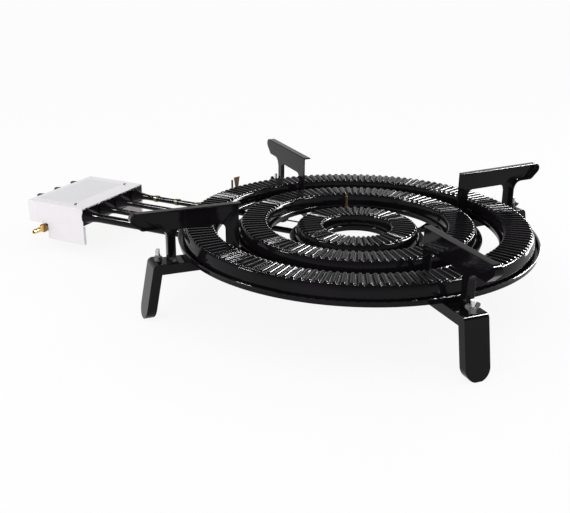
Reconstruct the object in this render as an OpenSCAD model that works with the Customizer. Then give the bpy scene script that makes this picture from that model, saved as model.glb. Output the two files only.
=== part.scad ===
// Paella gas burner with three ribbed rings, four pan supports, four legs and a control box.
// The box end points to -X, Z is up and the feet stand on Z = 0.

/* [Rings] */
// Height of the rib tops of the two large rings above the ground
rib_top_z = 120; // [105:1:160]
// Height of a ring from its floor to its rib tops
ring_h = 30; // [26:1:40]
// Radius of the outer ring's ribs at their outer ends
outer_ro = 288; // [275:1:300]
// Radius of the outer ring's ribs at their inner ends
outer_ri = 241; // [238:1:250]
// Radius of the middle ring's ribs at their outer ends
middle_ro = 195.5; // [188:0.5:197]
// Radius of the middle ring's ribs at their inner ends
middle_ri = 151.5; // [146:0.5:160]
// Radius of the inner ring's ribs at their outer ends
inner_ro = 101.5; // [92:0.5:108]
// Radius of the inner ring's ribs at their inner ends
inner_ri = 58; // [50:0.5:64]
// How much lower the inner ring sits than the other two
inner_drop = 9; // [6:0.5:11]
// Number of ribs on the outer ring
outer_ribs = 144; // [120:24:168]
// Number of ribs on the middle ring
middle_ribs = 96; // [72:24:120]
// Number of ribs on the inner ring
inner_ribs = 48; // [36:12:60]
// Height of a rib over the valley beside it
rib_h = 3.2; // [2:0.2:4]
// Thickness of the pressed ring sheet
ring_sheet = 1.5; // [1:0.1:2]
// Depth of the rounded shoulder below the rib tops
shoulder_h = 6; // [5:0.5:8]
// Depth of the smooth skirt's lower edge below the rib tops
skirt_h = 17.5; // [14:0.5:20]
// How far the skirt's lower edge stands outside the rib ends
skirt_out = 4; // [2:0.5:5]
// How far the skirt's lower edge stands inside the ribs' inner ends
skirt_in = 2.5; // [1:0.5:3]
// How far the outer wall of the lower pan stands outside the rib ends
pan_out = 10; // [8:0.5:11]
// How far the inner wall of the lower pan stands inside the ribs' inner ends
pan_in = 5; // [4.5:0.5:6]
// Radius of the rolled lip on the rim of a pan
lip_r = 1.6; // [1.2:0.1:2]
// How far a pan's lip lies below the knee of the skirt
lip_drop = 2.5; // [0.5:0.5:4]

/* [Pan supports] */
// Direction of the rear left support and leg, from the end of the box axis beyond the rings
rear_left_a = 54.5; // [50:0.1:56]
// Direction of the front left support and leg
front_left_a = 140.5; // [138:0.1:144]
// Direction of the front right support and leg
front_right_a = 228.7; // [225:0.1:231]
// Direction of the rear right support and leg
rear_right_a = 319.3; // [315:0.1:322]
// Height of the pan rest above the rib tops
pan_rest_h = 54; // [45:1:65]
// Thickness of the sheet of a support
support_sheet = 2.5; // [2:0.5:3]
// Depth of the flange along the top and the outer edge of a support
support_flange = 13; // [10:0.5:14]
// Radius of the outer end of a support
support_ro = 386; // [375:1:392]
// Radius of the inner end of a support
support_ri = 210; // [209.5:0.5:212]
// Width of the inner leg of a support
inner_leg_w = 22.5; // [18:0.5:23]
// Gap between the outer pan's lip and the outer stem of a support
stem_gap = 14; // [12:0.5:15]
// Width of the outer stem
stem_w = 16; // [16:0.5:18]
// Height of the arch above the rib tops
arch_h = 20; // [12:1:24]
// Height of the underside of the outer lobe above the rib tops
lobe_h = 26; // [22:1:32]
// Radius of the tip of the outer lobe
lobe_tip = 9; // [7:0.5:12]
// Radius of the outer lobe's lower corner
lobe_low = 8; // [6:0.5:9]
// Radius between the outer lobe and the stem
lobe_fillet = 14; // [10:1:16]
// Length of the foot tabs of a support, out from its sheet
foot_tab_w = 14; // [14:0.5:15]

/* [Arms and legs] */
// Width of an arm
arm_w = 36; // [34:1:40]
// Depth of the side walls of an arm
arm_h = 16; // [13:1:16]
// Thickness of the arm sheet
arm_sheet = 1.5; // [1.2:0.1:2]
// Radius of the inner end of an arm
arm_ri = 160; // [155:1:165]
// Thickness of the leg sheet
leg_sheet = 1.7; // [1.4:0.1:2.2]
// Depth of the side walls of a leg
leg_depth = 15.5; // [14:0.5:17]
// Gap between a support's stem and the tab of its leg
leg_tab_gap = 2.5; // [2:0.5:4]
// Distance from a leg bolt to the bend of its leg
bolt_to_bend = 5; // [5:0.5:7]
// Outer radius of the bend of a leg
leg_bend = 8; // [6:0.5:10]
// Splay of a leg from the vertical, in degrees
leg_splay = 10.7; // [6:0.1:14]
// How much the round foot is cut flat
foot_flat = 0.8; // [0.5:0.1:1.2]
// Length of a leg bolt above the leg tab
leg_bolt_up = 19; // [17:1:24]
// Radial clearance between a wing nut and its bolt
nut_gap = 0.06; // [0.03:0.01:0.1]
// Height of a wing nut's hub
wing_hub_h = 8; // [6:0.5:10]
// Span of a wing nut over its wings
wing_span = 24; // [20:1:26]
// Gap between a support's stem and the turning wings
wing_gap = 1; // [0.5:0.5:2]

/* [Mixer tubes] */
// Height of the mixer tube axes above the ground
tube_z = 74; // [72:0.5:76]
// Side offset of the middle ring's tube from the box axis
tube_y = 61; // [58:1:62]
// Spacing of the four tubes
tube_pitch = 50; // [48:0.5:51]
// Outer radius of the three thin tubes
tube_r = 5.25; // [4.5:0.25:6]
// Outer radius of the thick tube
thick_tube_r = 8; // [7:0.25:8.5]
// Wall of the tubes
tube_wall = 1.2; // [0.8:0.1:1.5]
// Radius of the bends up into the rings
elbow_r = 10; // [9:0.5:12]
// Radius of the bell at the box end of a mixer tube
bell_r = 13; // [11:0.5:14]
// Length of the bell
bell_l = 32; // [26:1:38]
// Radius of the mixing mouth inside the box
mouth_r = 8.2; // [7.8:0.1:9.5]
// Length of the mixing mouth inside the box
mouth_l = 16; // [12:1:20]

/* [Control box] */
// Distance from the ring axis to the rear edge of the box
box_near = 500; // [480:1:540]
// Depth of the box along its axis
box_d = 128; // [124:1:140]
// Distance from the middle ring's tube to the left side of the box
box_left_room = 26; // [26:0.5:36]
// Distance of the box top below the rib tops
box_drop = 30; // [28:0.5:31]
// Height of the box at its front
box_front_h = 41; // [40:1:43]
// Height of the box at its rear
box_rear_h = 70; // [60:1:78]
// Distance from the rear edge to the step of the side panels
box_step = 84; // [76:1:84]
// Thickness of the box sheet
box_sheet = 1.2; // [0.8:0.1:1.5]
// Distance from the rear edge to the two cover screws
cover_screw_at = 28; // [24:1:32]
// Spacing of the two cover screws
cover_screw_span = 152; // [140:1:156]

/* [Gas valves] */
// Height of the spindle axes above the ground
knob_z = 67; // [66:0.5:68]
// Radius of a knob
knob_r = 18; // [16:0.5:20]
// Length of a knob
knob_l = 22; // [18:1:26]
// Gap between a knob and the front panel
knob_gap = 6; // [5.8:0.2:8]
// Radius of a valve spindle
spindle_r = 4; // [3:0.5:4.5]
// Radial clearance of a spindle in its bore
spindle_gap = 0.05; // [0.03:0.01:0.08]
// How far a knob is pushed in to light
push_travel = 4; // [3:0.5:4.5]
// Height of the gas rail axis above the ground
rail_z = 41; // [40:0.5:41.5]
// Distance from the rear edge of the box to the gas rail
rail_at = 91; // [90:0.5:92]
// Outer radius of the gas rail
rail_r = 7.5; // [7:0.25:7.5]
// Width across the flats of the inlet nut
inlet_af = 14; // [12:0.5:15]
// Length of the hose barb outside its nut
barb_l = 24; // [18:1:30]

/* [Flame sensors] */
// Radius from the ring axis to the outer ring's sensor
outer_sensor_at = 304; // [303.5:0.5:306]
// Angle of the outer ring's sensor
outer_sensor_a = 161; // [158:0.5:163]
// Radius from the ring axis to the inner sensor
inner_sensor_at = 131; // [129:0.5:134]
// Angle of the inner sensor
inner_sensor_a = 120.5; // [118:0.5:124]
// Radius of the sensor leads
lead_r = 1.3; // [1:0.1:1.5]

/* [Hidden] */
$fn = 64;
black = "#17171a";
white = "#f2f2f0";
brass = "#b98d3e";
zinc = "#a9adb0";
copper = "#a8683c";
eps = 0.01;
seat = 0.3;

// Ring heights
floor_z = rib_top_z - ring_h;
inner_top_z = rib_top_z - inner_drop;
inner_floor_z = inner_top_z - ring_h;
outer_mid = (outer_ro + outer_ri) / 2;
middle_mid = (middle_ro + middle_ri) / 2;
inner_mid = (inner_ro + inner_ri) / 2;
lip_out = pan_out + lip_r + 0.4;

// Supports, wing nuts and legs follow one another outwards from the outer ring
corners = [rear_left_a, front_left_a, front_right_a, rear_right_a];
stem_ri = outer_ro + lip_out + stem_gap;
stem_ro = stem_ri + stem_w;
leg_tab_ri = stem_ro + leg_tab_gap;
leg_bolt_at = stem_ro + wing_gap + wing_span / 2;
leg_bend_r = leg_bolt_at + bolt_to_bend;
leg_w = arm_w + 2 * (seat + leg_sheet);
// Radius at which the arms end, just short of the legs' bend
arm_ro = leg_bend_r + 0.5;

// The origin lies under the middle of the burner's whole length and width, to half a millimetre
box_far = box_near + box_d;
knob_front = box_far + knob_gap + knob_l;
leg_reach = leg_bend_r + leg_bend * cos(leg_splay)
    + (floor_z + leg_sheet - leg_bend + leg_bend * sin(leg_splay)) * tan(leg_splay);
foot_x = max([for (a = corners) leg_reach * cos(a) + leg_w / 2 * abs(sin(a))]);
side_y = support_ro * sin(rear_left_a) + support_sheet / 2 * cos(rear_left_a);
burner_x = round(knob_front - max(outer_ro + lip_out, foot_x)) / 2;
burner_y = round(outer_ro + lip_out - max(outer_ro + lip_out, side_y)) / 2;

// Ring covers: rib profile and rows
rib_top_from = 0.10;
rib_top_to = 0.48;
rib_foot_from = 0.62;
rib_foot_to = 0.96;
outer_seg = 72;
small_seg = 48;

// Fasteners
m6_r = 3;
m6_head_r = 5.6;
m6_head_h = 4;
m6_hole = 3.3;
stud_below = 6.5;
tab_reach = support_sheet / 2 + foot_tab_w;
tab_bolt_y = support_sheet / 2 + 8.5;
inner_tab_r = support_ri + inner_leg_w / 2;
outer_tab_r = stem_ro - support_sheet - m6_head_r - 1;

// Inner ring straps
strap_w = 20;
strap_t = 2;
strap_ri = 70;
strap_ro = 190;
inner_stud_at = 79;

// Mixer tubes
tube_ys = [tube_y, tube_y - tube_pitch, tube_y - 2 * tube_pitch, tube_y - 3 * tube_pitch];
bell_far = box_near;
mouth_far = box_near + mouth_l + 4;

// Box
box_top_z = rib_top_z - box_drop;
frame_t = 2;
frame_side_gap = 0.3;
box_left = tube_ys[0] + box_left_room;
box_right = tube_ys[3] - mouth_r - seat - frame_t - frame_side_gap - box_sheet;
box_w = box_left - box_right;
box_y = (box_left + box_right) / 2;
frame_top_z = box_top_z - box_sheet - seat;
frame_h = 32;
frame_bottom_z = frame_top_z - frame_h;
frame_front = box_far - box_sheet - 2;
frame_rear = box_near;
frame_right = box_right + box_sheet + frame_side_gap;
frame_left = box_left - box_sheet - frame_side_gap;
frame_lip = 42;

// Valves
valve_ys = [tube_ys[0], tube_ys[1], tube_ys[2]];
rail_x = box_near + rail_at;
neck_r = 7;
valve_nut_t = 2;
neck_len = valve_nut_t + 0.2;
magnet_z = knob_z - 5;
magnet_end = rail_x - 31;
neck_hole = neck_r + 0.2;
valve_body_r = 10.5;
valve_rear = rail_x - 14;
outlet_l = 10;
outlet_end = valve_rear - outlet_l;
valve_front = frame_front - frame_t - 2.5;
neck_front = frame_front + neck_len;
panel_hole_r = 10.5;
collar_t = 1.8;
collar_r = 7.5;
collar_rear = neck_front + push_travel + 0.5;
spindle_rear = neck_front - 26;
clip_t = 1;
spindle_front = box_far + knob_gap + 13;
injector_tip = box_near + mouth_l + 14;
nozzle_r = 3;

function arc(cx, cy, r, a0, a1, n = 6) =
    [for (i = [0:n]) let (a = a0 + (a1 - a0) * i / n) [cx + r * cos(a), cy + r * sin(a)]];

// One row of points round the Z axis: count, radius and height at the turn t of each point
function plain_row(n, r, z) = [for (i = [0:n - 1]) let (a = 360 * i / n) [r * cos(a), r * sin(a), z]];

// A ribbed row: each rib has two points on its top and two in the valley beside it
function rib_row(ribs, top, foot) = [
    for (i = [0:ribs - 1])
        for (p = [[rib_top_from, top], [rib_top_to, top], [rib_foot_from, foot], [rib_foot_to, foot]])
            let (a = 360 * (i + p[0]) / ribs) [p[1][0] * cos(a), p[1][0] * sin(a), p[1][1]]
];

// Faces between row a and row b, which start at point numbers sa and sb and may differ in length
function stitch(na, sa, nb, sb) =
    na == nb
    ? [for (i = [0:na - 1]) let (j = (i + 1) % na)
          for (f = [[sa + i, sb + i, sb + j], [sa + i, sb + j, sa + j]]) f]
    : na < nb
    ? let (k = nb / na) [
          for (i = [0:na - 1]) let (j = (i + 1) % na)
              for (f = concat(
                  [for (m = [0:k - 1]) [sa + i, sb + i * k + m, sb + (i * k + m + 1) % nb]],
                  [[sa + i, sb + ((i + 1) * k) % nb, sa + j]])) f]
    : let (k = na / nb) [
          for (i = [0:nb - 1]) let (j = (i + 1) % nb)
              for (f = concat(
                  [for (m = [0:k - 1]) [sa + i * k + m, sb + i, sa + (i * k + m + 1) % na]],
                  [[sa + ((i + 1) * k) % na, sb + i, sb + j]])) f];

function starts(rows, i = 0, at = 0) =
    i == len(rows) ? [] : concat([at], starts(rows, i + 1, at + len(rows[i])));

// A closed band round the Z axis whose section passes through the rows in turn
module row_band(rows) {
    s = starts(rows);
    n = len(rows);
    faces = [for (i = [0:n - 1]) let (j = (i + 1) % n)
        for (f = stitch(len(rows[i]), s[i], len(rows[j]), s[j])) f];
    polyhedron(points = [for (r = rows) for (p = r) p], faces = faces);
}

// Ribbed upper shell of a ring, from its inner skirt over the ribs to its outer skirt
module ring_cover(ri, ro, ribs, seg, top_z) {
    t = ring_sheet;
    base = top_z - ring_h + t;
    knee = top_z - skirt_h;
    edge = top_z - shoulder_h;
    slope = rib_h * 0.7;
    rows = [
        plain_row(seg, ri - skirt_in, base),
        plain_row(seg, ri - skirt_in, knee),
        plain_row(seg, ri - 0.5, edge),
        rib_row(ribs, [ri + 1.2, top_z - 1.5], [ri + 1.2 + slope, top_z - 1.5 - slope]),
        rib_row(ribs, [ri + 5, top_z], [ri + 5, top_z - rib_h]),
        rib_row(ribs, [ro - 5, top_z], [ro - 5, top_z - rib_h]),
        rib_row(ribs, [ro - 1.2, top_z - 1.5], [ro - 1.2 - slope, top_z - 1.5 - slope]),
        plain_row(seg, ro + 0.5, edge),
        plain_row(seg, ro + skirt_out, knee),
        plain_row(seg, ro + skirt_out, base),
        plain_row(seg, ro + skirt_out - t, base),
        plain_row(seg, ro + skirt_out - t, knee),
        plain_row(seg, ro - 3.5 - t, top_z - rib_h - t - 1),
        plain_row(seg, ri + 3.5 + t, top_z - rib_h - t - 1),
        plain_row(seg, ri - skirt_in + t, knee),
        plain_row(seg, ri - skirt_in + t, base)
    ];
    color(black) row_band(rows);
}

// Lower pan of a ring: a channel with rolled lips, four studs below and holes for its feeds
module ring_pan(ri, ro, top_z, stud_at, feeds) {
    bottom = top_z - ring_h;
    rim = top_z - skirt_h - lip_r - lip_drop;
    r_out = ro + pan_out;
    r_in = ri - pan_in;
    color(black) difference() {
        union() {
            rotate_extrude($fn = 180) polygon([
                [r_in, bottom], [r_out, bottom], [r_out, rim], [r_out - ring_sheet, rim],
                [r_out - ring_sheet, bottom + ring_sheet], [r_in + ring_sheet, bottom + ring_sheet],
                [r_in + ring_sheet, rim], [r_in, rim]
            ]);
            rotate_extrude($fn = 180) translate([r_out + 0.4, rim]) circle(lip_r, $fn = 24);
            rotate_extrude($fn = 180) translate([r_in - 0.4, rim]) circle(lip_r, $fn = 24);
            at_corners() translate([stud_at, 0, bottom - stud_below - strap_t])
                cylinder(h = stud_below + strap_t + ring_sheet / 2, r = m6_r);
        }
        for (f = feeds) translate([f[0], f[1], bottom - 1]) cylinder(h = ring_sheet + 2, r = f[2]);
    }
}

module at_corner(i) {
    rotate([0, 0, corners[i]]) children();
}

module at_corners() {
    for (i = [0:3]) at_corner(i) children();
}

// Everything is drawn round the ring axis and then set over the origin
module placed() {
    translate([burner_x, burner_y, 0]) children();
}

// Where a feed from the box meets the mean circle of a ring
function feed_x(y, r) = -sqrt(r * r - y * y);
feeds = [
    [feed_x(tube_ys[0], middle_mid), tube_ys[0], tube_r],
    [feed_x(tube_ys[1], inner_mid), tube_ys[1], tube_r],
    [feed_x(tube_ys[2], outer_mid), tube_ys[2], tube_r],
    [feed_x(tube_ys[3], outer_mid), tube_ys[3], thick_tube_r]
];
function feed_hole(f) = [f[0], f[1], f[2] + 0.2];

// Rings
module outer_cover() {
    placed() ring_cover(outer_ri, outer_ro, outer_ribs, outer_seg, rib_top_z);
}

module middle_cover() {
    placed() ring_cover(middle_ri, middle_ro, middle_ribs, small_seg, rib_top_z);
}

module inner_cover() {
    placed() ring_cover(inner_ri, inner_ro, inner_ribs, small_seg, inner_top_z);
}

module outer_pan() {
    placed() ring_pan(outer_ri, outer_ro, rib_top_z, outer_mid, [feed_hole(feeds[2]), feed_hole(feeds[3])]);
}

module middle_pan() {
    placed() ring_pan(middle_ri, middle_ro, rib_top_z, middle_mid, [feed_hole(feeds[0])]);
}

module inner_pan() {
    placed() ring_pan(inner_ri, inner_ro, inner_top_z, inner_stud_at, [feed_hole(feeds[1])]);
}

// Arms: channels, open below, that carry the rings, the supports and the legs
module arm(i) {
    color(black) placed() at_corner(i) difference() {
        translate([arm_ri, -arm_w / 2, floor_z - arm_h]) cube([arm_ro - arm_ri, arm_w, arm_h]);
        translate([arm_ri - 1, -arm_w / 2 + arm_sheet, floor_z - arm_h - 1])
            cube([arm_ro - arm_ri + 2, arm_w - 2 * arm_sheet, arm_h + 1 - arm_sheet]);
        for (r = [middle_mid, outer_mid]) translate([r, 0, floor_z - 5]) cylinder(h = 10, r = m6_hole);
        for (r = [inner_tab_r, outer_tab_r])
            translate([r, side(i) * tab_bolt_y, floor_z - 5]) cylinder(h = 10, r = m6_hole);
        translate([leg_bolt_at, 0, floor_z - 5]) cylinder(h = 10, r = m6_hole);
    }
}

// The left pair of supports has its flanges and tabs on one side, the right pair on the other
function side(i) = i < 2 ? -1 : 1;

// Points along the flanged edge of a support, in by d: pan rest, outer lobe, fillet and stem
function flange_edge(d) = let (rest = rib_top_z + pan_rest_h, lobe = rib_top_z + lobe_h) concat(
    [[support_ri, rest - d]],
    arc(support_ro - lobe_tip, rest - lobe_tip, lobe_tip - d, 90, -42),
    arc(support_ro - lobe_tip - 11, lobe + lobe_low, lobe_low - d, -42, -90),
    arc(stem_ro + lobe_fillet, lobe - lobe_fillet, lobe_fillet + d, 90, 180),
    [[stem_ro - d, floor_z]]
);
function backwards(v) = [for (i = [len(v) - 1:-1:0]) v[i]];

// Outline of a support in its own plane: radius across, height up
module support_outline() {
    arch = rib_top_z + arch_h;
    inner_edge = support_ri + inner_leg_w;
    polygon(concat(
        flange_edge(0),
        [[stem_ri, floor_z]],
        arc(stem_ri - 9, arch - 9, 9, 0, 90),
        arc(inner_edge + 9, arch - 9, 9, 90, 180),
        [[inner_edge, floor_z], [support_ri, floor_z]]
    ));
}

// A pan support: a pressed sheet that bridges the outer ring, with a flange and two bolted tabs
module support(i) {
    color(black) placed() at_corner(i) difference() {
        union() {
            rotate([90, 0, 0]) linear_extrude(support_sheet, center = true) support_outline();
            translate([0, side(i) * support_flange / 2, 0]) rotate([90, 0, 0])
                linear_extrude(support_flange - support_sheet, center = true)
                    polygon(concat(flange_edge(0), backwards(flange_edge(support_sheet))));
            for (x = [[support_ri, inner_leg_w], [stem_ri, stem_w]])
                translate([x[0], min(0, side(i) * tab_reach), floor_z])
                    cube([x[1], tab_reach, support_sheet]);
        }
        for (r = [inner_tab_r, outer_tab_r])
            translate([r, side(i) * tab_bolt_y, floor_z - 1]) cylinder(h = support_sheet + 2, r = m6_hole);
    }
}

// Side profile of a leg, in by d from its outer face
module leg_profile(d, deep) {
    tab_z = floor_z + seat + leg_sheet;
    c = [leg_bend_r, tab_z - leg_bend];
    n = [cos(leg_splay), sin(leg_splay)];
    p = c + n * leg_bend;
    // Distance of the outer face from the axis origin, along its normal
    face = p * n;
    foot = -5;
    back = face - deep;
    low_z = tab_z - deep;
    tab_ri = d > 0 ? leg_tab_ri - 1 : leg_tab_ri;
    polygon(concat(
        [[tab_ri, low_z], [tab_ri, tab_z - d]],
        arc(c[0], c[1], leg_bend - d, 90, leg_splay, 8),
        [[(face - d - n[1] * foot) / n[0], foot], [(back - n[1] * foot) / n[0], foot]],
        [[(back - n[1] * low_z) / n[0], low_z]]
    ));
}

// Front view of a leg, in by d: straight sides and a round foot, cut flat at the ground
module leg_front(d) {
    r = leg_w / 2;
    top = floor_z + leg_depth;
    z = r - foot_flat;
    flat_a = acos(min(1, z / (r - d)));
    polygon(concat(
        [[r - d, top]],
        flat_a > 0
        ? concat(arc(0, z, r - d, 0, flat_a - 90, 12), arc(0, z, r - d, -90 - flat_a, -180, 12))
        : arc(0, z, r - d, 0, -180, 24),
        [[d - r, top]]
    ));
}

// A leg's block, in by d: its side profile as wide as its front view
module leg_block(d, deep) {
    intersection() {
        rotate([90, 0, 0]) linear_extrude(leg_w, center = true) leg_profile(d, deep);
        rotate([90, 0, 90]) linear_extrude(leg_reach + leg_bend) leg_front(d);
    }
}

// A leg: one pressed channel with a tab over the arm's end and a wall round its foot
module leg(i) {
    color(black) placed() at_corner(i) difference() {
        leg_block(0, leg_depth);
        leg_block(leg_sheet, leg_depth + 1);
        translate([leg_bolt_at, 0, floor_z - 2]) cylinder(h = 8, r = m6_hole);
    }
}

// A wing nut: hub, base ring and two rounded wings
module wing_nut(i) {
    base_z = floor_z + seat + leg_sheet + seat;
    hub_r = m6_r + 2.8;
    wing_h = 9;
    color(zinc) placed() at_corner(i) translate([leg_bolt_at, 0, base_z]) rotate([0, 0, 90]) difference() {
        union() {
            cylinder(h = wing_hub_h, r1 = hub_r, r2 = hub_r - 1);
            rotate([90, 0, 0]) linear_extrude(2.4, center = true) polygon(concat(
                [[-hub_r + 1.5, 1], [hub_r - 1.5, 1]],
                arc(wing_span / 2 - 4, wing_hub_h + 2, 4, -60, 120, 8),
                [[hub_r - 2, wing_hub_h - 1], [2 - hub_r, wing_hub_h - 1]],
                arc(4 - wing_span / 2, wing_hub_h + 2, 4, 60, 240, 8)
            ));
        }
        translate([0, 0, -1]) cylinder(h = wing_hub_h + wing_h + 2, r = m6_r + nut_gap);
    }
}

module leg_bolts() {
    color(zinc) placed() at_corners() translate([leg_bolt_at, 0, floor_z - arm_sheet]) {
        translate([0, 0, -m6_head_h]) cylinder(h = m6_head_h, r = m6_head_r, $fn = 6);
        translate([0, 0, -1]) cylinder(h = 1 + arm_sheet + seat + leg_sheet + leg_bolt_up, r = m6_r);
    }
}

// Bolts of the supports' foot tabs, with their nuts under the arm
module support_bolts() {
    nut_h = 5;
    color(black) placed() for (i = [0:3]) at_corner(i) for (r = [inner_tab_r, outer_tab_r])
        translate([r, side(i) * tab_bolt_y, floor_z]) {
            translate([0, 0, support_sheet]) cylinder(h = m6_head_h, r = m6_head_r, $fn = 6);
            translate([0, 0, -arm_sheet - nut_h])
                cylinder(h = arm_sheet + nut_h + support_sheet + 1, r = m6_r);
            translate([0, 0, -arm_sheet - nut_h]) cylinder(h = nut_h, r = m6_head_r, $fn = 6);
        }
}

// Nut on a stud, with the bore of the stud
module stud_nut(z) {
    translate([0, 0, z]) difference() {
        cylinder(h = m6_head_h, r = m6_head_r, $fn = 6);
        translate([0, 0, -1]) cylinder(h = m6_head_h + 2, r = m6_r + 0.05);
    }
}

module ring_nuts() {
    color(zinc) placed() at_corners() {
        translate([outer_mid, 0, 0]) stud_nut(floor_z - arm_sheet - m6_head_h);
        translate([middle_mid, 0, 0]) stud_nut(floor_z - arm_sheet - strap_t - m6_head_h);
        translate([inner_stud_at, 0, 0]) stud_nut(inner_floor_z - strap_t - m6_head_h);
    }
}

// Four cranked straps that hang the inner ring from the arms' inner ends
module inner_ring_straps() {
    high = floor_z - arm_sheet;
    low = inner_floor_z;
    crank_ro = arm_ri - 4;
    crank_ri = crank_ro - 18;
    color(black) placed() at_corners() difference() {
        rotate([90, 0, 0]) linear_extrude(strap_w, center = true) polygon([
            [strap_ri, low - strap_t], [crank_ri, low - strap_t], [crank_ro, high - strap_t],
            [strap_ro, high - strap_t], [strap_ro, high], [crank_ro, high], [crank_ri, low], [strap_ri, low]
        ]);
        for (r = [inner_stud_at, middle_mid]) translate([r, 0, low - 5]) cylinder(h = 20, r = m6_hole);
    }
}

// A mixer: mouth in the box, flange, bell, tube, and elbow up through the pan's floor
module mixer(f, floor_at) {
    r = f[2];
    bore = r - tube_wall;
    rise = floor_at - tube_z;
    bend = min(elbow_r, rise);
    bend_from = bend - f[0];
    color(black) placed() {
        difference() {
            translate([0, f[1], tube_z]) rotate([0, -90, 0]) rotate_extrude() polygon(concat(
                [[bore, bend_from], [bore, bell_far - 8], [mouth_r - 1.5, mouth_far - 8]],
                [[mouth_r - 1.5, mouth_far], [mouth_r, mouth_far], [mouth_r, bell_far]],
                [[bell_r + 1.5, bell_far], [bell_r + 1.5, bell_far - 2]],
                [for (k = [0:6]) [r + (bell_r - r) * pow(1 - k / 6, 2.2), bell_far - 2 - bell_l * k / 6]],
                [[r, bend_from]]
            ));
            // Air windows behind the injector
            for (a = [0, 90]) translate([-mouth_far + 7, f[1], tube_z]) rotate([a, 0, 0])
                cube([7, 9, 4 * mouth_r], center = true);
        }
        translate([f[0] - bend, f[1], tube_z + bend]) rotate([90, 0, 0]) rotate([0, 0, -90])
            rotate_extrude(angle = 90) translate([bend, 0]) difference() {
                circle(r);
                circle(bore);
            }
        translate([f[0], f[1], tube_z + bend]) difference() {
            cylinder(h = rise - bend + ring_sheet + 2, r = r);
            translate([0, 0, -1]) cylinder(h = rise + 10, r = bore);
        }
    }
}

module middle_mixer() {
    mixer(feeds[0], floor_z);
}

module inner_mixer() {
    mixer(feeds[1], inner_floor_z);
}

module outer_mixer() {
    mixer(feeds[2], floor_z);
}

module outer_mixer_thick() {
    mixer(feeds[3], floor_z);
}

// Folded frame inside the box: it holds the mixers at the rear and the valves at the front
module control_frame() {
    mid_y = (frame_left + frame_right) / 2;
    wide = frame_left - frame_right;
    color(black) placed() difference() {
        union() {
            difference() {
                translate([-frame_front, frame_right, frame_bottom_z])
                    cube([frame_front - frame_rear, wide, frame_h]);
                translate([-frame_front + frame_t, frame_right + frame_t, frame_bottom_z - 1])
                    cube([frame_front - frame_rear - 2 * frame_t, wide - 2 * frame_t, frame_h + 2]);
            }
            translate([-frame_rear - frame_lip, frame_right, frame_top_z - frame_t])
                cube([frame_lip, wide, frame_t]);
        }
        for (y = tube_ys) translate([-frame_rear - frame_t - 1, y, tube_z]) rotate([0, 90, 0])
            cylinder(h = frame_t + 2, r = mouth_r + 0.2);
        for (y = valve_ys) translate([-frame_front - 1, y, knob_z]) rotate([0, 90, 0])
            cylinder(h = frame_t + 2, r = neck_hole);
        cover_screws_at(frame_top_z - 5) cylinder(h = 10, r = 2.1);
        // Hole for the sensor leads
        translate([-frame_rear - frame_t - 1, lead_hole_y, (low_lead_z + high_lead_z) / 2]) rotate([0, 90, 0])
            cylinder(h = frame_t + 2, r = lead_r + 2.6);
    }
}

// Side panel of the box cover, with its step
module box_side(y) {
    translate([0, y + box_sheet, 0]) rotate([90, 0, 0]) linear_extrude(box_sheet) polygon([
        [-box_far, box_top_z], [-box_far, box_top_z - box_front_h],
        [-box_near - box_step, box_top_z - box_front_h], [-box_near - box_step, box_top_z - box_rear_h],
        [-box_near, box_top_z - box_rear_h], [-box_near, box_top_z]
    ]);
}

// White cover: top, front and two stepped sides, open below and behind
module box_cover() {
    lip = 6;
    color(white) placed() difference() {
        union() {
            translate([-box_far, box_right, box_top_z - box_sheet]) cube([box_d, box_w, box_sheet]);
            translate([-box_far, box_right, box_top_z - box_front_h]) cube([box_sheet, box_w, box_front_h]);
            box_side(box_right);
            box_side(box_left - box_sheet);
            // Return lips on the low rear edges of the sides
            for (y = [box_right, box_left - lip])
                translate([-box_near - box_sheet, y, box_top_z - box_rear_h])
                    cube([box_sheet, lip, box_rear_h - frame_h - box_sheet - 2]);
        }
        for (y = valve_ys) translate([-box_far - 1, y, knob_z]) rotate([0, 90, 0])
            cylinder(h = box_sheet + 2, r = panel_hole_r);
        cover_screws_at(box_top_z - 5) cylinder(h = 10, r = 2.2);
    }
}

// Places of the two cover screws, at the height z
module cover_screws_at(z) {
    for (s = [-1, 1])
        translate([-box_near - cover_screw_at, box_y + s * cover_screw_span / 2, z]) children();
}

module cover_screws() {
    color(black) placed() cover_screws_at(box_top_z) {
        cylinder(h = 2, r1 = 3.8, r2 = 2.6);
        translate([0, 0, -8]) cylinder(h = 8 + eps, r = 1.95);
    }
}

// Gas rail: a tube across the box below the valves
module gas_rail() {
    from = box_right + 2;
    to = box_left - 8;
    color(zinc) placed() difference() {
        translate([-rail_x, from, rail_z]) rotate([-90, 0, 0]) cylinder(h = to - from, r = rail_r);
        translate([-rail_x, from - 1, rail_z]) rotate([-90, 0, 0])
            cylinder(h = to - from + 2, r = rail_r - 2);
        for (y = valve_ys) translate([-rail_x, y, rail_z]) cylinder(h = rail_r + 1, r = 2);
    }
}

module rail_plug() {
    to = box_left - 8;
    color(brass) placed() translate([-rail_x, to, rail_z]) rotate([-90, 0, 0]) {
        cylinder(h = 4, r = rail_r, $fn = 6);
        translate([0, 0, -8]) cylinder(h = 8 + eps, r = rail_r - 2.1);
    }
}

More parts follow.
